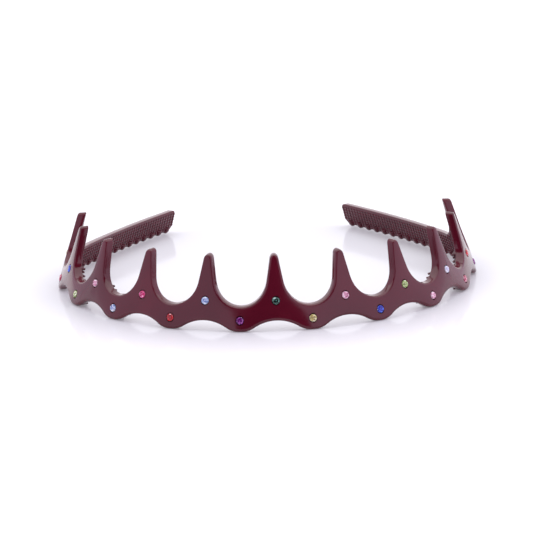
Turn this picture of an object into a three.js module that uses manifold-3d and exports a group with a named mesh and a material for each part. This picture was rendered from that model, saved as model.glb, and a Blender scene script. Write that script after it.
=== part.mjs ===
// A comb headband: one plastic moulding bent in a U, with small crystals glued into its outer face.
// Millimetres, +Z up. The origin is under the middle of the band's box, on the table that it lies on.
// The front faces -Y and the two arms run back towards +Y.
import * as THREE from 'three';
import { mergeVertices } from 'three/addons/utils/BufferGeometryUtils.js';
import Module from 'manifold-3d';

const wasm = await Module();
wasm.setup();

// Plan of one side of the U, measured along the outer face at the table: three arcs from the front.
const FRONT_RADIUS = 68.1;
const FRONT_LENGTH = 97.8;
const SHOULDER_RADIUS = 54.6;
const SHOULDER_LENGTH = 34.2;
const ARM_RADIUS = 333;
const ARM_END = 185.5;
const SIDE_ARCS = [
  { radius: FRONT_RADIUS, length: FRONT_LENGTH },
  { radius: SHOULDER_RADIUS, length: SHOULDER_LENGTH },
  { radius: ARM_RADIUS, length: ARM_END - FRONT_LENGTH - SHOULDER_LENGTH },
];

// The wall: its level thickness, and how far it leans inwards as it rises.
const WALL = 2.7;
const LEAN = THREE.MathUtils.degToRad(17);

// Spikes and lobes share one pitch along the outer face.
const PITCH = 22.8;
const SPIKES_EACH_SIDE = 5;
const SPIKE_TOP = 22.6;
const SPIKE_TIP_RADIUS = 1.45;
const VALLEY_RADIUS = 8.8;
const VALLEY_HEIGHT = 7.45;
const ARM_HEIGHT = 8.2;
const UNDER_SPIKE = 3.12;
const LOBE_RADIUS = 7.5;
const REST_FLAT = 1.0;

// The arm's end, and the row of blunt teeth that it stands on.
const ARM_LOWER_EDGE = 0.8;
const END_ROUND = 1.6;
const END_CHAMFER = 1.7;
const TOOTH_PITCH = 4.45;
const TOOTH_COUNT = 14;
const TOOTH_FIRST = 124.6;
const TOOTH_ROOT_RADIUS = 1.25;
const TOOTH_TIP_RADIUS = 0.95;
const TOOTH_REACH = 0.5;
const TOOTH_SUNK = 0.9;
const TOOTH_SIDES = 8;

// The one cut in the moulding: a clear slot where the sprung hinge stands in for its bending.
const CUT_AT = PITCH / 4;
const CUT_GAP = 0.3;

// Crystals and their sockets.
const CRYSTAL_RADIUS = 1.25;
const CRYSTAL_TABLE_RADIUS = 0.72;
const CRYSTAL_CROWN = 0.4;
const CRYSTAL_GIRDLE = 0.15;
const CRYSTAL_PAVILION = 0.85;
const CRYSTAL_BACK_RADIUS = 0.22;
const CRYSTAL_SIDES = 12;
const SOCKET_CLEARANCE = 0.2;
const SOCKET_DEPTH = 1.4;
const SOCKET_SIDES = 24;
const UPPER_CRYSTAL_HEIGHT = 9.15;
const LOWER_CRYSTAL_HEIGHT = 3.5;

// How finely the round stretches are cut up.
const TIP_STEPS = 4;
const VALLEY_STEPS = 9;
const END_STEPS = 4;
const ARM_STEP = 4.5;

const COMB_COLOUR = 0x4b101c;
const GEM_COLOURS = {
  clear: 0xe6eaf2,
  aqua: 0xa9c3e6,
  sapphire: 0x1a36b8,
  amethyst: 0x6a1a7c,
  rose: 0xe07a9c,
  light_rose: 0xe8b4c4,
  fuchsia: 0xc83a78,
  ruby: 0xb4122c,
  gold: 0xe0c27a,
  peridot: 0xb8cc7a,
  emerald: 0x0c4a38,
};
const UPPER_GEMS = [
  'gold', 'sapphire', 'light_rose', 'fuchsia', 'aqua', 'emerald', 'light_rose', 'peridot', 'clear', 'ruby', 'aqua',
];
const LOWER_GEMS = [
  'rose', 'peridot', 'aqua', 'ruby', 'amethyst', 'gold', 'sapphire', 'light_rose', 'rose', 'amethyst',
];

// ---- The bend: from flat comb sizes to places on the U ----

// The point of the plan curve at a length along the outer face, and the outward direction there.
function planAt(along) {
  const side = along < 0 ? -1 : 1;
  let left = Math.abs(along);
  let heading = 0;
  let x = 0;
  let y = 0;
  for (const { radius, length } of SIDE_ARCS) {
    const turn = Math.min(left, length) / radius;
    x += radius * (Math.sin(heading + turn) - Math.sin(heading));
    y += radius * (Math.cos(heading) - Math.cos(heading + turn));
    heading += turn;
    left -= Math.min(left, length);
  }
  return { x: side * x, y, outX: side * Math.sin(heading), outY: -Math.cos(heading) };
}

const PLAN_DEPTH = planAt(ARM_END).y;

// A place in the wall: length along the outer face, level depth behind that face, and height.
function wrap(along, depth, height) {
  const plan = planAt(along);
  const inward = depth + height * Math.tan(LEAN);
  return new THREE.Vector3(plan.x - plan.outX * inward, plan.y - plan.outY * inward - PLAN_DEPTH / 2, height);
}

// The direction square to the leaning outer face.
function outward(along) {
  const plan = planAt(along);
  return new THREE.Vector3(plan.outX * Math.cos(LEAN), plan.outY * Math.cos(LEAN), Math.sin(LEAN));
}

// ---- The flat outline: a top edge and a bottom edge, each one height for each place along ----

// The straight flank that touches the round tip of a spike and the round valley beside it.
function flankTo(valleyHeight) {
  const rise = SPIKE_TOP - SPIKE_TIP_RADIUS - valleyHeight - VALLEY_RADIUS;
  const run = PITCH / 2;
  const slope = Math.atan2(rise, run) + Math.asin((SPIKE_TIP_RADIUS + VALLEY_RADIUS) / Math.hypot(rise, run));
  return { tipEnd: SPIKE_TIP_RADIUS * Math.sin(slope), valleyStart: run - VALLEY_RADIUS * Math.sin(slope), slope };
}

// Height of the top edge at a distance from the nearest spike's middle line.
function spikeEdge(distance, valleyHeight) {
  const { tipEnd, valleyStart, slope } = flankTo(valleyHeight);
  if (distance <= tipEnd) {
    return SPIKE_TOP - SPIKE_TIP_RADIUS + Math.sqrt(SPIKE_TIP_RADIUS ** 2 - distance ** 2);
  }
  if (distance < valleyStart) {
    const touch = SPIKE_TOP - SPIKE_TIP_RADIUS * (1 - Math.cos(slope));
    return touch - (distance - tipEnd) * Math.tan(slope);
  }
  const fromMiddle = PITCH / 2 - distance;
  return valleyHeight + VALLEY_RADIUS - Math.sqrt(VALLEY_RADIUS ** 2 - fromMiddle ** 2);
}

function topEdge(along) {
  const place = Math.abs(along);
  const lastSpike = SPIKES_EACH_SIDE * PITCH;
  if (place <= lastSpike) {
    return spikeEdge(Math.abs(place - Math.round(place / PITCH) * PITCH), VALLEY_HEIGHT);
  }
  if (place <= lastSpike + PITCH / 2) {
    return spikeEdge(place - lastSpike, ARM_HEIGHT);
  }
  const past = Math.max(0, place - (ARM_END - END_ROUND));
  return ARM_HEIGHT - END_ROUND + Math.sqrt(Math.max(0, END_ROUND ** 2 - past ** 2));
}

// The wavy lower edge: a hollow under each spike and a tighter round at each lobe, with a small flat to rest on.
function bottomEdge(along) {
  const place = Math.abs(along);
  const lastSpike = SPIKES_EACH_SIDE * PITCH;
  if (place > lastSpike + PITCH / 4) {
    const chamfer = Math.max(0, place - (ARM_END - END_CHAMFER));
    const toArm = Math.max(waveAt(place, lastSpike), ARM_LOWER_EDGE);
    return toArm + chamfer;
  }
  return waveAt(place, Math.round(place / PITCH) * PITCH);
}

function waveAt(place, spikeLine) {
  const run = (PITCH - REST_FLAT) / 2;
  const distance = Math.min(Math.abs(place - spikeLine), run);
  const slope = 2 * Math.atan2(UNDER_SPIKE, run);
  const hollowRadius = run / Math.sin(slope) - LOBE_RADIUS;
  if (distance < hollowRadius * Math.sin(slope)) {
    return UNDER_SPIKE - hollowRadius + Math.sqrt(hollowRadius ** 2 - distance ** 2);
  }
  return LOBE_RADIUS - Math.sqrt(LOBE_RADIUS ** 2 - (run - distance) ** 2);
}

// Places along one side where the outline turns, from the front to the arm's end.
function sideStations() {
  const stations = [];
  for (let spike = 0; spike <= SPIKES_EACH_SIDE; spike += 1) {
    const middle = spike * PITCH;
    const { tipEnd, valleyStart, slope } = flankTo(spike === SPIKES_EACH_SIDE ? ARM_HEIGHT : VALLEY_HEIGHT);
    const right = [];
    for (let step = 0; step <= TIP_STEPS; step += 1) {
      right.push(SPIKE_TIP_RADIUS * Math.sin((slope * step) / TIP_STEPS));
    }
    for (let step = 0; step <= VALLEY_STEPS; step += 1) {
      right.push(PITCH / 2 - VALLEY_RADIUS * Math.sin(slope * (1 - step / VALLEY_STEPS)));
    }
    right.push((PITCH - REST_FLAT) / 2, (tipEnd + valleyStart) / 2);
    const inner = flankTo(VALLEY_HEIGHT);
    stations.push(...right.map((distance) => middle + distance));
    if (spike > 0) {
      for (let step = 0; step <= TIP_STEPS; step += 1) {
        stations.push(middle - SPIKE_TIP_RADIUS * Math.sin((inner.slope * step) / TIP_STEPS));
      }
      for (let step = 0; step < VALLEY_STEPS; step += 1) {
        stations.push(middle - PITCH / 2 + VALLEY_RADIUS * Math.sin(inner.slope * (1 - step / VALLEY_STEPS)));
      }
      stations.push(middle - (PITCH - REST_FLAT) / 2, middle - (inner.tipEnd + inner.valleyStart) / 2);
    }
  }
  for (let place = (SPIKES_EACH_SIDE + 0.5) * PITCH; place < ARM_END - END_CHAMFER; place += ARM_STEP) {
    stations.push(place);
  }
  stations.push(ARM_END - END_CHAMFER);
  for (let step = 0; step <= END_STEPS; step += 1) {
    stations.push(ARM_END - END_ROUND + END_ROUND * Math.sin(((Math.PI / 2) * step) / END_STEPS));
  }
  return stations;
}

// ---- Solids ----

function solidFrom(geometry) {
  const vertProperties = new Float32Array(geometry.attributes.position.array);
  const triVerts = new Uint32Array(geometry.index.array);
  return new wasm.Manifold(new wasm.Mesh({ numProp: 3, vertProperties, triVerts }));
}

function geometryFrom(solid) {
  const { vertProperties, triVerts } = solid.getMesh();
  const geometry = new THREE.BufferGeometry();
  geometry.setAttribute('position', new THREE.BufferAttribute(vertProperties, 3));
  geometry.setIndex(new THREE.BufferAttribute(triVerts, 1));
  return geometry;
}

function positionOnly(geometry) {
  geometry.deleteAttribute('normal');
  geometry.deleteAttribute('uv');
  return mergeVertices(geometry, 1e-4);
}

// The bare wall between two places along: four edge lines joined by strips, closed at both ends.
function wallBetween(start, end) {
  const side = sideStations();
  const all = [...side, ...side.map((place) => -place), start, end].filter((place) => place >= start && place <= end);
  const sorted = all.sort((a, b) => a - b).filter((place, i, list) => i === 0 || place - list[i - 1] > 1e-3);
  const points = [];
  for (const place of sorted) {
    points.push(wrap(place, 0, bottomEdge(place)), wrap(place, 0, topEdge(place)));
    points.push(wrap(place, WALL, topEdge(place)), wrap(place, WALL, bottomEdge(place)));
  }
  const index = [0, 1, 2, 0, 2, 3];
  for (let i = 0; i < sorted.length - 1; i += 1) {
    for (let edge = 0; edge < 4; edge += 1) {
      const a = 4 * i + edge;
      const b = 4 * i + ((edge + 1) % 4);
      index.push(a, b + 4, b, a, a + 4, b + 4);
    }
  }
  const last = 4 * (sorted.length - 1);
  index.push(last, last + 2, last + 1, last, last + 3, last + 2);
  const geometry = new THREE.BufferGeometry();
  geometry.setFromPoints(points);
  geometry.setIndex(index);
  return solidFrom(geometry);
}

// A round tool or tooth with its axis square to the leaning wall.
// It runs from `back` behind the outer face to `front`, with a radius at each end.
function roundAcrossWall({ along, height, back, front, backRadius, frontRadius, sides }) {
  const geometry = new THREE.CylinderGeometry(frontRadius, backRadius, front - back, sides);
  geometry.translate(0, (front + back) / 2, 0);
  const turn = new THREE.Quaternion().setFromUnitVectors(new THREE.Vector3(0, 1, 0), outward(along));
  geometry.applyQuaternion(turn);
  const place = wrap(along, 0, height);
  geometry.translate(place.x, place.y, place.z);
  return solidFrom(positionOnly(geometry));
}

// Blunt teeth along the arm's lower edge. Their undersides touch the table.
function armTeeth(side) {
  const squareWall = WALL * Math.cos(LEAN);
  const reach = squareWall + TOOTH_REACH;
  const teeth = [];
  for (let i = 0; i < TOOTH_COUNT; i += 1) {
    const along = side * (TOOTH_FIRST + i * TOOTH_PITCH);
    const height = TOOTH_ROOT_RADIUS * Math.cos(LEAN) + squareWall * Math.sin(LEAN);
    teeth.push(roundAcrossWall({
      along,
      height,
      back: -reach,
      front: TOOTH_SUNK - squareWall,
      backRadius: TOOTH_TIP_RADIUS,
      frontRadius: TOOTH_ROOT_RADIUS,
      sides: TOOTH_SIDES,
    }));
  }
  return teeth;
}

// ---- Crystals ----

function crystalPlaces() {
  const places = [];
  UPPER_GEMS.forEach((gem, i) => {
    const name = `crystal_upper_${String(i + 1).padStart(2, '0')}`;
    places.push({ name, gem, along: (i - SPIKES_EACH_SIDE) * PITCH, height: UPPER_CRYSTAL_HEIGHT });
  });
  LOWER_GEMS.forEach((gem, i) => {
    const name = `crystal_lower_${String(i + 1).padStart(2, '0')}`;
    places.push({ name, gem, along: (i - SPIKES_EACH_SIDE + 0.5) * PITCH, height: LOWER_CRYSTAL_HEIGHT });
  });
  return places;
}

function socketTool({ along, height }) {
  const radius = CRYSTAL_RADIUS + SOCKET_CLEARANCE;
  return roundAcrossWall({
    along,
    height,
    back: -SOCKET_DEPTH,
    front: 2,
    backRadius: radius,
    frontRadius: radius,
    sides: SOCKET_SIDES,
  });
}

// A cut stone with a flat table, a sloping crown, a thin girdle and a blunt pavilion.
function crystalMesh({ name, gem, along, height }) {
  const profile = [
    new THREE.Vector2(0, -CRYSTAL_GIRDLE - CRYSTAL_PAVILION),
    new THREE.Vector2(CRYSTAL_BACK_RADIUS, -CRYSTAL_GIRDLE - CRYSTAL_PAVILION),
    new THREE.Vector2(CRYSTAL_RADIUS, -CRYSTAL_GIRDLE),
    new THREE.Vector2(CRYSTAL_RADIUS, 0),
    new THREE.Vector2(CRYSTAL_TABLE_RADIUS, CRYSTAL_CROWN),
    new THREE.Vector2(0, CRYSTAL_CROWN),
  ];
  const material = new THREE.MeshStandardMaterial({ color: GEM_COLOURS[gem], roughness: 0.05, metalness: 0 });
  const mesh = new THREE.Mesh(new THREE.LatheGeometry(profile, CRYSTAL_SIDES), material);
  mesh.name = name;
  mesh.position.copy(wrap(along, 0, height));
  mesh.quaternion.setFromUnitVectors(new THREE.Vector3(0, 1, 0), outward(along));
  return mesh;
}

// ---- The comb, cut in two halves ----

function combHalf(name, start, end, armSide) {
  let solid = wallBetween(start, end);
  for (const tooth of armTeeth(armSide)) {
    solid = solid.add(tooth);
  }
  const own = crystalPlaces().filter(({ along }) => along > start && along < end);
  for (const place of own) {
    solid = solid.subtract(socketTool(place));
  }
  const material = new THREE.MeshStandardMaterial({ color: COMB_COLOUR, roughness: 0.18, metalness: 0 });
  const mesh = new THREE.Mesh(geometryFrom(solid), material);
  mesh.name = name;
  return mesh;
}

const headband = new THREE.Group();
headband.add(combHalf('comb_left_half', -ARM_END, CUT_AT - CUT_GAP / 2, -1));
headband.add(combHalf('comb_right_half', CUT_AT + CUT_GAP / 2, ARM_END, 1));
for (const place of crystalPlaces()) {
  headband.add(crystalMesh(place));
}

export default headband;
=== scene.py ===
import math
import random

import bpy
from mathutils import Matrix, Vector


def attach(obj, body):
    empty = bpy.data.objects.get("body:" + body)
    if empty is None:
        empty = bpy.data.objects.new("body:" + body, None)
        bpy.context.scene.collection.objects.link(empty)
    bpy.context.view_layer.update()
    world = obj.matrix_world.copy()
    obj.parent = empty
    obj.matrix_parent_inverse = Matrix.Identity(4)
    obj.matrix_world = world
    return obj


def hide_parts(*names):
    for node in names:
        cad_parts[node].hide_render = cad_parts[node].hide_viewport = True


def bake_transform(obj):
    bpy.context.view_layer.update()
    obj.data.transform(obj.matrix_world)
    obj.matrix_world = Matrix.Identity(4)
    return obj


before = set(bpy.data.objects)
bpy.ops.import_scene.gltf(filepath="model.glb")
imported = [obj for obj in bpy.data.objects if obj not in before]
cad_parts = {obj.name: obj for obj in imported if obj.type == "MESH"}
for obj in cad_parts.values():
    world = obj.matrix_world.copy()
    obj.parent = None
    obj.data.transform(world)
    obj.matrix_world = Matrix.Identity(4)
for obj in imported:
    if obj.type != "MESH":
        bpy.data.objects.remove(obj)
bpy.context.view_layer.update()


# ---- Camera ----
# A long lens a metre away, a little above the table and slightly to the left of the middle spike. It looks
# down on the band and is turned a little about its own axis.
LENS = 207.2
CAMERA_PLACE = Vector((-0.0348, -0.9651, 0.2475))
CAMERA_TARGET = Vector((-0.00047, -0.0085, 0.0055))
CAMERA_ROLL = math.radians(-1.75)

bpy.ops.object.camera_add(location=CAMERA_PLACE)
camera = bpy.context.object
camera.name = "camera"
camera.data.lens = LENS
camera.rotation_mode = "QUATERNION"
aim = (CAMERA_TARGET - CAMERA_PLACE).to_track_quat("-Z", "Y")
camera.rotation_quaternion = aim @ Matrix.Rotation(CAMERA_ROLL, 3, "Z").to_quaternion()
bpy.context.scene.camera = camera


# ---- Comb band ----
# One injection moulding in glossy burgundy plastic: spikes, lobes, arms, teeth and pins in a single piece.
# It is shaped flat, with its outer face at y = 0, and then leaned and bent round the plan of the U.
# Nothing holds it: the finished band rests on the flats of its lobes and on its arms' teeth.
PITCH = 0.0228
SPIKES_EACH_SIDE = 5
SPIKE_TOP = 0.02245
SPIKE_TIP_RADIUS = 0.00145
VALLEY_RADIUS = 0.0088
VALLEY_HEIGHT = 0.0073
ARM_HEIGHT = 0.0082
UNDER_SPIKE = 0.00312
LOBE_RADIUS = 0.0075
REST_FLAT = 0.001
ARM_LOWER_EDGE = 0.0008
ARM_END = 0.1855
END_ROUND = 0.0016
END_CHAMFER = 0.0017
WALL = 0.0027
LEAN = math.radians(17)
DRAFT = 0.00015
DRAFT_FADE = 0.006
DRAFT_STEP = 0.0002
UPPER_ROUNDING = 0.0006
LOWER_ROUNDING = 0.0011
BACK_ROUNDING = 0.0003
ROUNDING_SEGMENTS = 4
STEEPEST_RIM = 12
TIP_STEPS = 8
FLANK_STEPS = 4
VALLEY_STEPS = 20
END_STEPS = 8
ARM_STEP = 0.0012
NARROWEST_COLUMN = 2e-5
TOUCH = 1e-6


def flank_to(valley_height):
    """Slope of the straight flank between a spike's tip and a valley, and where it starts and ends."""
    rise = SPIKE_TOP - SPIKE_TIP_RADIUS - valley_height - VALLEY_RADIUS
    run = PITCH / 2
    slope = math.atan2(rise, run) + math.asin((SPIKE_TIP_RADIUS + VALLEY_RADIUS) / math.hypot(rise, run))
    return slope, SPIKE_TIP_RADIUS * math.sin(slope), run - VALLEY_RADIUS * math.sin(slope)


def spike_edge(distance, valley_height):
    """Height of the top edge at a distance from a spike's middle line."""
    slope, tip_end, valley_start = flank_to(valley_height)
    if distance <= tip_end:
        return SPIKE_TOP - SPIKE_TIP_RADIUS + math.sqrt(SPIKE_TIP_RADIUS**2 - distance**2)
    if distance < valley_start:
        touch = SPIKE_TOP - SPIKE_TIP_RADIUS * (1 - math.cos(slope))
        return touch - (distance - tip_end) * math.tan(slope)
    return valley_height + VALLEY_RADIUS - math.sqrt(VALLEY_RADIUS**2 - (PITCH / 2 - distance) ** 2)


def top_edge(along):
    """Height of the comb's top edge at a place along the band."""
    place = abs(along)
    last_spike = SPIKES_EACH_SIDE * PITCH
    if place <= last_spike:
        return spike_edge(abs(place - round(place / PITCH) * PITCH), VALLEY_HEIGHT)
    if place <= last_spike + PITCH / 2:
        return spike_edge(place - last_spike, ARM_HEIGHT)
    past = max(0, place - (ARM_END - END_ROUND))
    return ARM_HEIGHT - END_ROUND + math.sqrt(max(0, END_ROUND**2 - past**2))


def wave(distance):
    """Height of the wavy lower edge at a distance from a spike's middle line: a hollow, then half a lobe."""
    run = (PITCH - REST_FLAT) / 2
    slope = 2 * math.atan2(UNDER_SPIKE, run)
    hollow_radius = run / math.sin(slope) - LOBE_RADIUS
    if distance < hollow_radius * math.sin(slope):
        return UNDER_SPIKE - hollow_radius + math.sqrt(hollow_radius**2 - distance**2)
    return LOBE_RADIUS - math.sqrt(LOBE_RADIUS**2 - max(0, run - distance) ** 2)


def bottom_edge(along):
    """Height of the comb's bottom edge at a place along the band."""
    place = abs(along)
    last_spike = SPIKES_EACH_SIDE * PITCH
    if place <= last_spike + PITCH / 4:
        return wave(abs(place - round(place / PITCH) * PITCH))
    chamfer = max(0, place - (ARM_END - END_CHAMFER))
    return max(wave(place - last_spike), ARM_LOWER_EDGE) + chamfer


def column_places():
    """Places along the band where the flat blank is cut into columns, closer together round the tips."""
    last_spike = SPIKES_EACH_SIDE * PITCH
    side = set()
    for spike in range(SPIKES_EACH_SIDE + 1):
        for direction in (-1, 1):
            outermost = spike == SPIKES_EACH_SIDE and direction == 1
            slope, tip_end, valley_start = flank_to(ARM_HEIGHT if outermost else VALLEY_HEIGHT)
            offsets = [SPIKE_TIP_RADIUS * math.sin(slope * i / TIP_STEPS) for i in range(TIP_STEPS + 1)]
            offsets += [tip_end + (valley_start - tip_end) * i / FLANK_STEPS for i in range(1, FLANK_STEPS)]
            valley = [slope * (1 - i / VALLEY_STEPS) for i in range(VALLEY_STEPS + 1)]
            offsets += [PITCH / 2 - VALLEY_RADIUS * math.sin(angle) for angle in valley]
            offsets.append((PITCH - REST_FLAT) / 2)
            side.update(round(spike * PITCH + direction * offset, 7) for offset in offsets)
    arm_start = last_spike + PITCH / 2
    arm_cuts = int((ARM_END - END_CHAMFER - arm_start) / ARM_STEP)
    side.update(round(arm_start + i * ARM_STEP, 7) for i in range(arm_cuts))
    side.add(ARM_END - END_CHAMFER)
    corner = [1 - math.sin(math.pi / 2 * i / END_STEPS) for i in range(END_STEPS + 1)]
    side.update(round(ARM_END - END_ROUND * inward, 7) for inward in corner)
    side = {place for place in side if place >= 0}
    places = sorted(side | {-place for place in side})
    return [
        place for i, place in enumerate(places)
        if i == 0 or place - places[i - 1] > NARROWEST_COLUMN
    ]


def select_only(piece):
    bpy.ops.object.select_all(action="DESELECT")
    piece.select_set(True)
    bpy.context.view_layer.objects.active = piece


def apply_modifier(piece, kind, **settings):
    """Adds one modifier with these settings and applies it."""
    select_only(piece)
    modifier = piece.modifiers.new(kind.lower(), kind)
    for name, value in settings.items():
        setattr(modifier, name, value)
    bpy.ops.object.modifier_apply(modifier=modifier.name)


def select_edges(piece, wanted):
    """Selects the edges whose two ends, as places, pass a test."""
    select_only(piece)
    bpy.ops.object.mode_set(mode="EDIT")
    bpy.ops.mesh.select_mode(type="EDGE")
    bpy.ops.mesh.select_all(action="DESELECT")
    bpy.ops.object.mode_set(mode="OBJECT")
    verts = piece.data.vertices
    for edge in piece.data.edges:
        edge.select = wanted(verts[edge.vertices[0]].co, verts[edge.vertices[1]].co)
    bpy.ops.object.mode_set(mode="EDIT")


def draft_at(along):
    """Mould draft: how far, and which way, the inner face's top edge stands out past the outer face's."""
    rise = top_edge(along + DRAFT_STEP) - top_edge(along - DRAFT_STEP)
    edge = Vector((2 * DRAFT_STEP, 0, rise)).normalized()
    fade = (SPIKES_EACH_SIDE + 0.5) * PITCH + DRAFT_FADE - abs(along)
    return Vector((-edge.z, 0, edge.x)) * DRAFT * max(0, min(1, fade / DRAFT_FADE))


columns = column_places()
bpy.ops.object.select_all(action="DESELECT")
bpy.ops.mesh.primitive_grid_add(x_subdivisions=len(columns) - 1, y_subdivisions=1, size=2)
comb = bpy.context.object
comb.name = "comb_band"
for vert in comb.data.vertices:
    along = columns[round((vert.co.x + 1) / 2 * (len(columns) - 1))]
    height = top_edge(along) if vert.co.y > 0 else bottom_edge(along)
    vert.co = (along, 0, height)

bpy.ops.object.mode_set(mode="EDIT")
bpy.ops.mesh.select_all(action="SELECT")
bpy.ops.mesh.extrude_region_move(TRANSFORM_OT_translate={"value": (0, WALL, 0)})
bpy.ops.mesh.select_all(action="SELECT")
bpy.ops.mesh.normals_make_consistent(inside=False)
bpy.ops.object.mode_set(mode="OBJECT")
for vert in comb.data.vertices:
    if vert.co.y > WALL / 2 and vert.co.z > top_edge(vert.co.x) - TOUCH:
        vert.co += draft_at(vert.co.x)


def rounding_of(a, b):
    """Rounding of the edge between two places, or 0: the lower front rim is rounder than the upper one."""
    across_face = abs(a.z - b.z) > STEEPEST_RIM * abs(a.x - b.x) and abs(a.x) < ARM_END - TOUCH
    if across_face or abs(a.y - b.y) > TOUCH:
        return 0
    if a.y > WALL / 2:
        return BACK_ROUNDING
    middle = (a + b) / 2
    if middle.z > (top_edge(middle.x) + bottom_edge(middle.x)) / 2:
        return UPPER_ROUNDING
    on_arm = min(1, max(0, abs(middle.x) / PITCH - SPIKES_EACH_SIDE + 0.5))
    return LOWER_ROUNDING + on_arm * (UPPER_ROUNDING - LOWER_ROUNDING)


weights = comb.data.attributes.new("bevel_weight_edge", "FLOAT", "EDGE")
for edge in comb.data.edges:
    a, b = (comb.data.vertices[i].co for i in edge.vertices)
    weights.data[edge.index].value = rounding_of(a, b) / LOWER_ROUNDING
apply_modifier(
    comb, "BEVEL", width=LOWER_ROUNDING, segments=ROUNDING_SEGMENTS, limit_method="WEIGHT",
    loop_slide=False, use_clamp_overlap=False)

# Fine pins stand in rows on the inner face, square to the leaning wall. They begin beside the second spike
# from the middle, low and long, and run to the arm's end, where they are only small bumps.
PIN_COLUMN_PITCH = 0.00148
PIN_ROW_PITCH = 0.00098
PIN_LOWEST_ROW = 0.0009
PIN_ROWS = 11
PIN_FIRST_COLUMN = 0.0505
PIN_LAST_COLUMN = ARM_END - 0.0007
PIN_START_PART = 2.6 * PITCH
PIN_FRONT_PART = 3.5 * PITCH
PIN_FADE = 1.7 * PITCH
PIN_HIGHEST_AT_START = 0.0046
PIN_HIGHEST_IN_FRONT = 0.0090
PIN_HIGHEST = 0.0106
PIN_EDGE_MARGIN = 0.0005
PIN_ROOT_RADIUS = 0.0005
PIN_TIP_RADIUS = 0.0003
PIN_REACH = 0.0019
PIN_REACH_ON_ARM = 0.00027
PIN_SUNK = 0.0004
PIN_SIDES = 6
PIN_TIP_ROUNDING = 0.0001

# Stout blunt teeth stand along the arm's lower edge, about three pins apart, and the arm rests on them.
TOOTH_PITCH = 0.00445
TOOTH_COUNT = 14
TOOTH_FIRST = 0.1246
TOOTH_ROOT_RADIUS = 0.00125
TOOTH_TIP_RADIUS = 0.00095
TOOTH_REACH = 0.0005
TOOTH_HEIGHT = 0.00128
TOOTH_SUNK = 0.0009
TOOTH_SIDES = 16
TOOTH_TIP_ROUNDING = 0.0002


def spike_of_plastic(name, root_radius, tip_radius, reach, sunk, sides, tip_rounding):
    """A tapered pin lying along y, with its root sunk in the inner face and its tip edge rounded."""
    bpy.ops.mesh.primitive_cone_add(
        vertices=sides, radius1=root_radius, radius2=tip_radius, depth=reach + sunk,
        rotation=(-math.pi / 2, 0, 0), location=(0, (reach - sunk) / 2, 0))
    pin = bpy.context.object
    pin.name = name
    bpy.ops.object.transform_apply(location=True, rotation=True, scale=True)
    select_edges(pin, lambda a, b: a.y > reach - TOUCH and b.y > reach - TOUCH)
    bpy.ops.mesh.bevel(offset=tip_rounding, segments=1, clamp_overlap=True)
    bpy.ops.object.mode_set(mode="OBJECT")
    return pin


def copies_in_one(pattern, places, name):
    """Copies of a pattern at these matrices, joined in one mesh. The pattern itself is removed."""
    copies = []
    for place in places:
        copy = pattern.copy()
        copy.data = pattern.data.copy()
        copy.data.transform(place)
        bpy.context.collection.objects.link(copy)
        copies.append(copy)
    bpy.data.objects.remove(pattern)
    bpy.ops.object.select_all(action="DESELECT")
    for copy in copies:
        copy.select_set(True)
    bpy.context.view_layer.objects.active = copies[0]
    bpy.ops.object.join()
    joined = bpy.context.object
    joined.name = name
    return joined


def boolean(piece, tool, operation):
    apply_modifier(piece, "BOOLEAN", object=tool, operation=operation, solver="MANIFOLD")
    bpy.data.objects.remove(tool)


droop = Matrix.Rotation(-LEAN, 4, "X")
tooth_places = []
for side in (-1, 1):
    for i in range(TOOTH_COUNT):
        along = side * (TOOTH_FIRST + i * TOOTH_PITCH)
        tooth_places.append(Matrix.Translation((along, WALL, TOOTH_HEIGHT)) @ droop)
tooth = spike_of_plastic(
    "tooth", TOOTH_ROOT_RADIUS, TOOTH_TIP_RADIUS, TOOTH_REACH, TOOTH_SUNK, TOOTH_SIDES, TOOTH_TIP_ROUNDING)
teeth = copies_in_one(tooth, tooth_places, "teeth")

pin_places = []
pin_columns = round((PIN_LAST_COLUMN - PIN_FIRST_COLUMN) / PIN_COLUMN_PITCH)
for side in (-1, 1):
    for column in range(pin_columns + 1):
        place = PIN_LAST_COLUMN - column * PIN_COLUMN_PITCH
        along = side * place
        highest = PIN_HIGHEST
        if place < PIN_FRONT_PART:
            highest = PIN_HIGHEST_IN_FRONT
        if place < PIN_START_PART:
            highest = PIN_HIGHEST_AT_START
        on_side = min(1, max(0, (place - PIN_FRONT_PART) / PIN_FADE))
        length = 1 + on_side * (PIN_REACH_ON_ARM / PIN_REACH - 1)
        for row in range(PIN_ROWS):
            height = PIN_LOWEST_ROW + row * PIN_ROW_PITCH
            beside = [along + step * PIN_EDGE_MARGIN for step in (-1, 0, 1)]
            low = max(bottom_edge(spot) for spot in beside) + PIN_EDGE_MARGIN
            high = min(top_edge(spot) for spot in beside) - PIN_EDGE_MARGIN
            if low < height < min(high, highest):
                foot = Matrix.Translation((along, WALL, height))
                pin_places.append(foot @ droop @ Matrix.Diagonal((1, length, 1, 1)))
pin = spike_of_plastic(
    "pin", PIN_ROOT_RADIUS, PIN_TIP_RADIUS, PIN_REACH, PIN_SUNK, PIN_SIDES, PIN_TIP_ROUNDING)
pins = copies_in_one(pin, pin_places, "pins")
boolean(teeth, pins, "UNION")
boolean(comb, teeth, "UNION")

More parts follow.
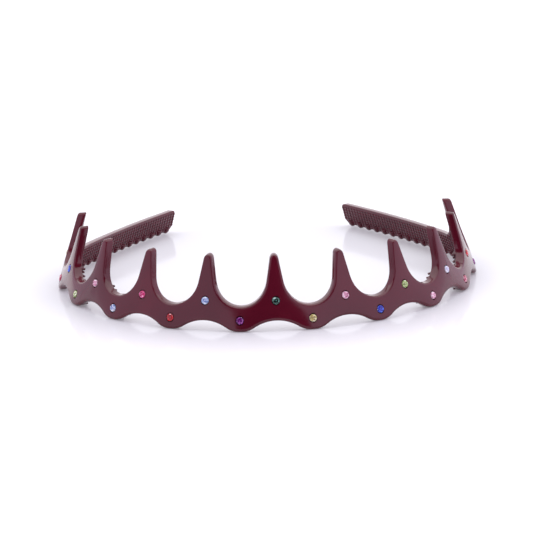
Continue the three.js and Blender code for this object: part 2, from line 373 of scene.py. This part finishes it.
# Blind sockets for the crystals, square to the leaning outer face.
CRYSTAL_RADIUS = 0.00116
SOCKET_CLEARANCE = 0.00018
SOCKET_DEPTH = 0.0013
SOCKET_SIDES = 32
UPPER_CRYSTAL_HEIGHT = 0.00915
LOWER_CRYSTAL_HEIGHT = 0.0035
SPIKES = range(-SPIKES_EACH_SIDE, SPIKES_EACH_SIDE + 1)
LOBES = range(-SPIKES_EACH_SIDE, SPIKES_EACH_SIDE)
UPPER_PLACES = [(spike * PITCH, UPPER_CRYSTAL_HEIGHT) for spike in SPIKES]
LOWER_PLACES = [((lobe + 0.5) * PITCH, LOWER_CRYSTAL_HEIGHT) for lobe in LOBES]

bpy.ops.mesh.primitive_cylinder_add(
    vertices=SOCKET_SIDES, radius=CRYSTAL_RADIUS + SOCKET_CLEARANCE, depth=2 * SOCKET_DEPTH,
    rotation=(-math.pi / 2, 0, 0))
drill = bpy.context.object
bpy.ops.object.transform_apply(rotation=True)
drill_places = [
    Matrix.Translation((along, 0, height)) @ droop for along, height in UPPER_PLACES + LOWER_PLACES
]
boolean(comb, copies_in_one(drill, drill_places, "drills"), "DIFFERENCE")

# The blank is leaned and then bent. The path is the plan of the U at the foot of the outer face, and its
# arcs run on smoothly from each other, from the middle spike to each arm's end.
FRONT_RADIUS = 0.0681
SHOULDER_RADIUS = 0.0546
ARM_RADIUS = 0.333
FRONT_LENGTH = 0.0978
SHOULDER_LENGTH = 0.0342
SIDE_ARCS = (
    (FRONT_RADIUS, FRONT_LENGTH),
    (SHOULDER_RADIUS, SHOULDER_LENGTH),
    (ARM_RADIUS, ARM_END - FRONT_LENGTH - SHOULDER_LENGTH),
)


def plan_at(along):
    """Point of the U's plan at a length from the middle spike, and the outward direction there."""
    side = -1 if along < 0 else 1
    left, heading, x, y = abs(along), 0, 0, 0
    for radius, length in SIDE_ARCS:
        turn = min(left, length) / radius
        x += radius * (math.sin(heading + turn) - math.sin(heading))
        y += radius * (math.cos(heading) - math.cos(heading + turn))
        heading += turn
        left -= min(left, length)
    return Vector((side * x, y, 0)), Vector((side * math.sin(heading), -math.cos(heading), 0))


PLAN_MIDDLE = plan_at(ARM_END)[0].y / 2
PATH_STEPS = 742
SMOOTH_BELOW = math.radians(40)


def wrap(along, depth, height):
    """Place in the finished band of a point of the flat blank."""
    foot, outward = plan_at(along)
    place = foot - outward * (depth + height * math.tan(LEAN))
    return Vector((place.x, place.y - PLAN_MIDDLE, height))


for vert in comb.data.vertices:
    vert.co.x += ARM_END
    vert.co.y += vert.co.z * math.tan(LEAN)

plan = bpy.data.curves.new("u_plan", "CURVE")
plan.dimensions = "3D"
plan.twist_mode = "Z_UP"
spline = plan.splines.new("POLY")
spline.points.add(PATH_STEPS)
for i, point in enumerate(spline.points):
    place = wrap(ARM_END * (2 * i / PATH_STEPS - 1), 0, 0)
    point.co = (place.x, place.y, 0, 1)
path = bpy.data.objects.new("u_plan", plan)
bpy.context.collection.objects.link(path)
apply_modifier(comb, "CURVE", object=path, deform_axis="POS_X")
bpy.data.objects.remove(path)
select_only(comb)
bpy.ops.object.shade_smooth_by_angle(angle=SMOOTH_BELOW)


def srgb(red, green, blue):
    """Linear colour of a colour as a screen shows it, from 0 to 255."""
    parts = [value / 255 for value in (red, green, blue)]
    return tuple(p / 12.92 if p <= 0.04045 else ((p + 0.055) / 1.055) ** 2.4 for p in parts) + (1,)


class Nodes:
    """A material's nodes, added and linked one by one."""

    def __init__(self, name):
        self.material = bpy.data.materials.new(name)
        self.material.use_nodes = True
        self.tree = self.material.node_tree
        self.surface = self.tree.nodes["Principled BSDF"]

    def add(self, kind, **settings):
        node = self.tree.nodes.new("ShaderNode" + kind)
        for name, value in settings.items():
            setattr(node, name, value)
        return node

    def link(self, node, output, target, socket):
        self.tree.links.new(node.outputs[output], target.inputs[socket])

    def noise(self, scale, detail=2, stretch=(1, 1, 1)):
        """Noise on Object coordinates, scale being its patches per metre."""
        place = self.add("TexCoord")
        mapping = self.add("Mapping")
        mapping.inputs["Scale"].default_value = stretch
        self.link(place, "Object", mapping, "Vector")
        noise = self.add("TexNoise")
        noise.inputs["Scale"].default_value = scale
        noise.inputs["Detail"].default_value = detail
        self.link(mapping, "Vector", noise, "Vector")
        return noise

    def ramp(self, source, output, *stops):
        """A colour ramp fed by a node, with stops as (position, colour)."""
        ramp = self.add("ValToRGB")
        elements = ramp.color_ramp.elements
        elements[0].position, elements[0].color = stops[0]
        elements[1].position, elements[1].color = stops[-1]
        for position, tint in stops[1:-1]:
            elements.new(position).color = tint
        self.link(source, output, ramp, "Fac")
        return ramp

    def spread(self, source, output, low, high):
        """A noise's value, which is mostly from 0.3 to 0.7, brought between two others."""
        spread = self.add("MapRange")
        spread.inputs["From Min"].default_value = 0.3
        spread.inputs["From Max"].default_value = 0.7
        spread.inputs["To Min"].default_value = low
        spread.inputs["To Max"].default_value = high
        self.link(source, output, spread, "Value")
        return spread

    def bump(self, source, output, distance, over=None):
        """Relief of this depth from a node's value, laid over another bump if one is given."""
        bump = self.add("Bump")
        bump.inputs["Distance"].default_value = distance
        bump.inputs["Strength"].default_value = 1.0
        self.link(source, output, bump, "Height")
        if over:
            self.link(over, "Normal", bump, "Normal")
        return bump


# Burgundy plastic: a dyed, polished moulding with faint clouds in its colour, gloss that varies a little,
# long shallow waves from shrinking in the mould, and a very fine grain.
BURGUNDY_DARK = srgb(80, 12, 30)
BURGUNDY = srgb(87, 14, 33)
BURGUNDY_LIGHT = srgb(95, 18, 37)
PLASTIC_IOR = 1.5
SMOOTHEST_PLASTIC = 0.10
ROUGHEST_PLASTIC = 0.17
CLOUD_SCALE = 60
SMEAR_SCALE = 140
SINK_SCALE = 55
SINK_DEPTH = 0.00006
GRAIN_SCALE = 2600
GRAIN_STRETCH = (1, 1, 0.25)
GRAIN_DEPTH = 0.000002
plastic = Nodes("burgundy_plastic")
plastic.surface.inputs["IOR"].default_value = PLASTIC_IOR
clouds = plastic.noise(CLOUD_SCALE, detail=3)
tint = plastic.ramp(clouds, "Fac", (0.3, BURGUNDY_DARK), (0.55, BURGUNDY), (0.75, BURGUNDY_LIGHT))
plastic.link(tint, "Color", plastic.surface, "Base Color")
smears = plastic.noise(SMEAR_SCALE, detail=4)
gloss = plastic.spread(smears, "Fac", SMOOTHEST_PLASTIC, ROUGHEST_PLASTIC)
plastic.link(gloss, "Result", plastic.surface, "Roughness")
sink = plastic.noise(SINK_SCALE, detail=1)
grain = plastic.noise(GRAIN_SCALE, detail=2, stretch=GRAIN_STRETCH)
waves = plastic.bump(sink, "Fac", SINK_DEPTH)
skin = plastic.bump(grain, "Fac", GRAIN_DEPTH, over=waves)
plastic.link(skin, "Normal", plastic.surface, "Normal")
comb.data.materials.clear()
comb.data.materials.append(plastic.material)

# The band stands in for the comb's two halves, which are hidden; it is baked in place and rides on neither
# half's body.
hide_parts("comb_left_half", "comb_right_half")
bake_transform(comb)


# ---- Crystals ----
# Twenty-one foil-backed rhinestones of cut glass, one at the root of each spike and one in each lobe.
# Each is glued in its socket with its girdle level with the outer face and its crown standing proud.
TABLE_RADIUS = 0.00068
CROWN = 0.0004
GIRDLE = 0.00015
PAVILION = 0.00085
BACK_RADIUS = 0.00022
SHOULDER_CROWN_RADIUS = 0.00106
SHOULDER_CROWN = 0.00023
PAVILION_BREAK_RADIUS = 0.0008
PAVILION_BREAK = 0.0006
STONE_TWIST = math.radians(22.5)
TABLE_STAR = TABLE_RADIUS * 0.45


def cut_stone():
    """A brilliant-cut stone with its girdle at height 0 and its table upwards."""
    rings = (
        (8, TABLE_RADIUS, CROWN, STONE_TWIST),
        (8, SHOULDER_CROWN_RADIUS, SHOULDER_CROWN, 0),
        (16, CRYSTAL_RADIUS, 0, STONE_TWIST / 2),
        (16, CRYSTAL_RADIUS, -GIRDLE, STONE_TWIST / 2),
        (8, PAVILION_BREAK_RADIUS, -GIRDLE - PAVILION_BREAK, STONE_TWIST),
        (8, BACK_RADIUS, -GIRDLE - PAVILION, 0),
    )
    bpy.ops.object.select_all(action="DESELECT")
    count, radius, height, turn = rings[0]
    bpy.ops.mesh.primitive_circle_add(vertices=count, radius=radius, location=(0, 0, 0))
    stone = bpy.context.object
    stone.data.transform(Matrix.Translation((0, 0, height)) @ Matrix.Rotation(turn, 4, "Z"))
    bpy.ops.object.mode_set(mode="EDIT")
    for count, radius, height, turn in rings[1:]:
        bpy.ops.mesh.primitive_circle_add(
            vertices=count, radius=radius, location=(0, 0, height), rotation=(0, 0, turn))
    bpy.ops.mesh.select_all(action="SELECT")
    bpy.ops.mesh.convex_hull(join_triangles=True)
    bpy.ops.mesh.select_all(action="DESELECT")
    bpy.ops.object.mode_set(mode="OBJECT")
    for face in stone.data.polygons:
        face.select = face.center.z > CROWN - TOUCH
    bpy.ops.object.mode_set(mode="EDIT")
    bpy.ops.mesh.inset(thickness=TABLE_STAR)
    bpy.ops.mesh.poke()
    bpy.ops.mesh.select_all(action="SELECT")
    bpy.ops.mesh.normals_make_consistent(inside=False)
    bpy.ops.object.mode_set(mode="OBJECT")
    return stone


# Cut glass over foil, with painted reflection: each facet's colour is a painted tone of the stone's colour,
# from painted shade through its body to a painted white glint.
# A facet's painted tone is an attribute of its face, and a little noise breaks it up.
# Each colour is given as its painted shade, its body and its painted glint.
GEM_COLOURS = {
    "clear": ((70, 72, 130), (196, 200, 232), (246, 247, 255)),
    "aqua": ((34, 48, 120), (140, 166, 222), (232, 240, 255)),
    "sapphire": ((4, 8, 90), (8, 32, 178), (78, 118, 244)),
    "amethyst": ((40, 2, 56), (98, 8, 100), (178, 84, 180)),
    "rose": ((120, 20, 50), (206, 74, 110), (250, 190, 206)),
    "light_rose": ((140, 60, 96), (222, 150, 182), (252, 226, 238)),
    "fuchsia": ((120, 4, 60), (208, 24, 104), (246, 130, 190)),
    "ruby": ((76, 0, 8), (160, 2, 20), (222, 30, 46)),
    "gold": ((58, 48, 8), (206, 188, 112), (250, 246, 206)),
    "peridot": ((60, 84, 20), (158, 184, 96), (236, 246, 206)),
    "emerald": ((0, 14, 12), (0, 34, 28), (120, 178, 164)),
}
GLASS_IOR = 1.6
GLASS_ROUGHNESS = 0.04
GLINT_NOISE_SCALE = 900
GLINT_NOISE = 0.12
WHITE = (1, 1, 1, 1)
gem_materials = {}
for gem, (deep, body, glint_colour) in GEM_COLOURS.items():
    glass = Nodes("crystal_" + gem)
    glass.surface.inputs["Roughness"].default_value = GLASS_ROUGHNESS
    glass.surface.inputs["IOR"].default_value = GLASS_IOR
    facet = glass.add("Attribute", attribute_name="painted_glint_tone")
    glint_noise = glass.noise(GLINT_NOISE_SCALE, detail=2)
    glint_jitter = glass.spread(glint_noise, "Fac", -GLINT_NOISE, GLINT_NOISE)
    glint_tone = glass.add("Math", operation="ADD", use_clamp=True)
    glass.link(facet, "Fac", glint_tone, 0)
    glass.link(glint_jitter, "Result", glint_tone, 1)
    # Painted reflection: the tone picks a colour from painted shade through the stone's body to a painted
    # white glint.
    colours = glass.ramp(
        glint_tone, "Value", (0.0, srgb(*deep)), (0.45, srgb(*body)), (0.8, srgb(*glint_colour)), (1.0, WHITE))
    glass.link(colours, "Color", glass.surface, "Base Color")
    gem_materials[gem] = glass.material

# The colours run along the band from the left arm to the right one.
UPPER_GEMS = (
    "gold", "sapphire", "light_rose", "fuchsia", "aqua", "emerald",
    "light_rose", "peridot", "clear", "ruby", "aqua")
LOWER_GEMS = (
    "rose", "peridot", "aqua", "ruby", "amethyst", "gold", "sapphire", "light_rose", "rose", "amethyst")
CROWN_GLINT_TONES = (0.2, 0.88)
TABLE_GLINT_TONES = (0.0, 0.75)

# The stones near the middle are baked in place, as the band is. The others ride on their own half.
SEAM_OF_BODIES = 0.0057
FLEX_REACH = 0.030

random.seed(11)
pattern = cut_stone()
for row, gems, places in (("upper", UPPER_GEMS, UPPER_PLACES), ("lower", LOWER_GEMS, LOWER_PLACES)):
    for number, (gem, (along, height)) in enumerate(zip(gems, places), start=1):
        stone = pattern.copy()
        stone.data = pattern.data.copy()
        stone.name = f"stone_{row}_{number:02d}"
        bpy.context.collection.objects.link(stone)
        # Painted reflection: each face gets a random tone, which its material turns into painted shade or a
        # painted glint.
        painted_glint_tone = stone.data.attributes.new("painted_glint_tone", "FLOAT", "FACE")
        for face in stone.data.polygons:
            glint_tones = TABLE_GLINT_TONES if face.center.z > CROWN - TOUCH else CROWN_GLINT_TONES
            painted_glint_tone.data[face.index].value = random.uniform(*glint_tones)
        outward = plan_at(along)[1]
        axis = outward * math.cos(LEAN) + Vector((0, 0, math.sin(LEAN)))
        right = Vector((-outward.y, outward.x, 0))
        turn = Matrix((right, axis.cross(right), axis)).transposed().to_4x4()
        twist = Matrix.Rotation(random.uniform(0, math.pi / 4), 4, "Z")
        stone.data.transform(Matrix.Translation(wrap(along, 0, height)) @ turn @ twist)
        stone.data.materials.append(gem_materials[gem])
        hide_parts(f"crystal_{row}_{number:02d}")
        if abs(along) < FLEX_REACH:
            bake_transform(stone)
        else:
            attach(stone, "left_half" if along < SEAM_OF_BODIES else "right_half")
bpy.data.objects.remove(pattern)


# ---- Floor ----
# A glossy white table top, faintly lit from below, with painted lilac shade round the band standing on it:
# its colour dims towards the band.
# It is only there for the picture. Each of its stops is a share of the painted shade's reach and the colour
# there.
FLOOR_SIZE = 12
FLOOR_GAP = 0.00003
SHADE_REACH = 0.11
SHADE_WANDER = 0.008
SHADE_STOPS = (
    (0.0, (0.65, 0.67, 0.67, 1)),
    (0.42, (0.60, 0.615, 0.63, 1)),
    (0.63, (0.58, 0.595, 0.62, 1)),
    (0.84, (0.80, 0.81, 0.81, 1)),
)
SHADE_EDGE_SCALE = 9
TABLE_TOP_ROUGHNESS = 0.12
TABLE_TOP_IOR = 1.13
GLOW_TINT = (0.97, 0.94, 1, 1)
GLOW = 0.18
bpy.ops.object.select_all(action="DESELECT")
bpy.ops.mesh.primitive_plane_add(size=FLOOR_SIZE, location=(0, 0, -FLOOR_GAP))
floor = bpy.context.object
floor.name = "floor"
table_top = Nodes("white_table_top")
table_top.surface.inputs["Roughness"].default_value = TABLE_TOP_ROUGHNESS
table_top.surface.inputs["IOR"].default_value = TABLE_TOP_IOR
table_top.surface.inputs["Emission Color"].default_value = GLOW_TINT
table_top.surface.inputs["Emission Strength"].default_value = GLOW
spot = table_top.add("TexCoord")
reach = table_top.add("VectorMath", operation="LENGTH")
table_top.link(spot, "Object", reach, 0)
# Noise makes the edge of the painted shade uneven.
shade_edge_noise = table_top.noise(SHADE_EDGE_SCALE, detail=3)
wander = table_top.add("MapRange")
wander.inputs["To Min"].default_value = -SHADE_WANDER
wander.inputs["To Max"].default_value = SHADE_WANDER
table_top.link(shade_edge_noise, "Fac", wander, "Value")
uneven = table_top.add("Math", operation="ADD")
table_top.link(reach, "Value", uneven, 0)
table_top.link(wander, "Result", uneven, 1)
share = table_top.add("Math", operation="DIVIDE")
share.inputs[1].default_value = SHADE_REACH
table_top.link(uneven, "Value", share, 0)
# Painted shade: the table's colour dims to pale lilac near the band.
white = table_top.ramp(share, "Value", *SHADE_STOPS)
table_top.link(white, "Color", table_top.surface, "Base Color")
floor.data.materials.append(table_top.material)


# ---- Lights ----
# A white light tent: panels on every side and overhead, with an unlit gap in front for the camera.
# The gap is what the middle of the band reflects, so it shows its own deep colour there.
TENT_HALF = 1.2
TENT_HEIGHT = 1.5
ROOF_DEPTH = 1.6
ROOF_BACK = 0.2
GAP_LEFT = -TENT_HALF * math.tan(math.radians(20))
GAP_RIGHT = TENT_HALF * math.tan(math.radians(19))
ENERGY_OF_AREA = 4
LEFT_RADIANCE = 0.78
RIGHT_RADIANCE = 1.0
BACK_RADIANCE = 1.2
TOP_RADIANCE = 1.6
SIDE_TINT = (0.98, 0.86, 1.05)
TENT_TINT = (0.98, 0.965, 1.0)
SKY_TINT = srgb(246, 246, 255)
SKY_STRENGTH = 0.03


def panel(name, place, aim, width, height, radiance, tint):
    """A rectangular light, unseen by the camera itself but not by reflections."""
    bpy.ops.object.light_add(type="AREA", location=place)
    light = bpy.context.object
    light.name = name
    light.data.shape = "RECTANGLE"
    light.data.size = width
    light.data.size_y = height
    light.data.energy = radiance * ENERGY_OF_AREA * width * height
    light.data.color = tint
    light.rotation_euler = Vector(aim).to_track_quat("-Z", "Y").to_euler()
    light.visible_camera = False


half, middle = TENT_HALF, TENT_HEIGHT / 2
wings = (("left", GAP_LEFT, -half, LEFT_RADIANCE), ("right", GAP_RIGHT, half, RIGHT_RADIANCE))
for name, gap, side, radiance in wings:
    place = ((gap + side) / 2, -half, middle)
    panel("panel_front_" + name, place, (0, 1, 0), abs(side - gap), TENT_HEIGHT, radiance, SIDE_TINT)
    panel("panel_" + name, (side, 0, middle), (-side, 0, 0), 2 * half, TENT_HEIGHT, radiance, SIDE_TINT)
panel("panel_behind", (0, half, middle), (0, -1, 0), 2 * half, TENT_HEIGHT, BACK_RADIANCE, TENT_TINT)
overhead = (0, ROOF_BACK, TENT_HEIGHT)
panel("panel_overhead", overhead, (0, 0, -1), 2 * half, ROOF_DEPTH, TOP_RADIANCE, TENT_TINT)

world = bpy.data.worlds.new("studio")
bpy.context.scene.world = world
world.use_nodes = True
sky = world.node_tree.nodes["Background"]
sky.inputs["Color"].default_value = SKY_TINT
sky.inputs["Strength"].default_value = SKY_STRENGTH
bpy.context.scene.view_settings.view_transform = "Standard"
